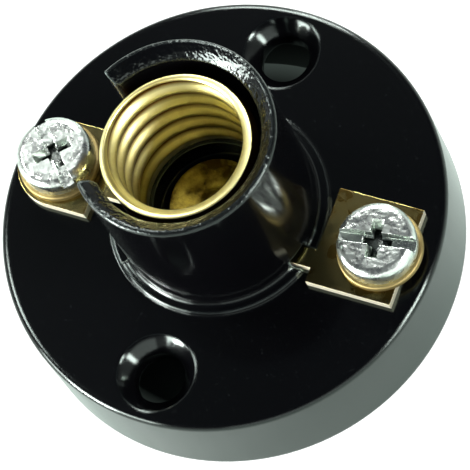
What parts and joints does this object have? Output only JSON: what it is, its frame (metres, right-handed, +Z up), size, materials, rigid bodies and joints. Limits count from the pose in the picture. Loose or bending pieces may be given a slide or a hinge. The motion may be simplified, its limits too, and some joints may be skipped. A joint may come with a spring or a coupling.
{
  "type": "miniature screw lamp holder",
  "caption": "Round black base with a central tower that holds a rolled brass screw shell for a small lamp, with screw terminals and countersunk mounting holes.",
  "frame": {"origin": "middle of the base's underside", "axes": "+Z up the tower and out of the socket, +X to the centre contact's terminal, +Y to one mounting hole"},
  "size_m": [0.0315, 0.0314, 0.0193],
  "materials": {
    "black_moulding": "moulded phenolic, glossy",
    "shell_brass": "rolled, bright",
    "strip_brass": "stamped, slightly dull",
    "washer_brass": "stamped",
    "plated_steel": "zinc plated, bright"
  },
  "bodies": {
    "holder": {"base_moulding": "black_moulding", "thread_shell": "shell_brass", "shell_strip": "strip_brass", "centre_contact": "strip_brass", "left_terminal_nut": "plated_steel", "right_terminal_nut": "plated_steel"},
    "left_clamp": {"left_clamp_washer": "washer_brass"},
    "left_screw": {"left_terminal_screw": "plated_steel"},
    "right_clamp": {"right_clamp_washer": "washer_brass"},
    "right_screw": {"right_terminal_screw": "plated_steel"}
  },
  "joints": [
    {"name": "left_clamp_travel", "type": "slide", "parent": "holder", "child": "left_clamp", "axis": [0, 0, 1], "range_m": [0, 0.002]},
    {"name": "left_screw_turn", "type": "hinge", "parent": "left_clamp", "child": "left_screw", "pos_m": [-0.0119, 0, 0.0079], "axis": [0, 0, 1], "range_deg": [0, 1440]},
    {"name": "right_clamp_travel", "type": "slide", "parent": "holder", "child": "right_clamp", "axis": [0, 0, 1], "range_m": [0, 0.002]},
    {"name": "right_screw_turn", "type": "hinge", "parent": "right_clamp", "child": "right_screw", "pos_m": [0.0119, 0, 0.0079], "axis": [0, 0, 1], "range_deg": [0, 1440]}
  ],
  "couplings": [
    {"joint": "left_screw_turn", "follows": "left_clamp_travel", "rad_per_m": 12566},
    {"joint": "right_screw_turn", "follows": "right_clamp_travel", "rad_per_m": 12566}
  ]
}
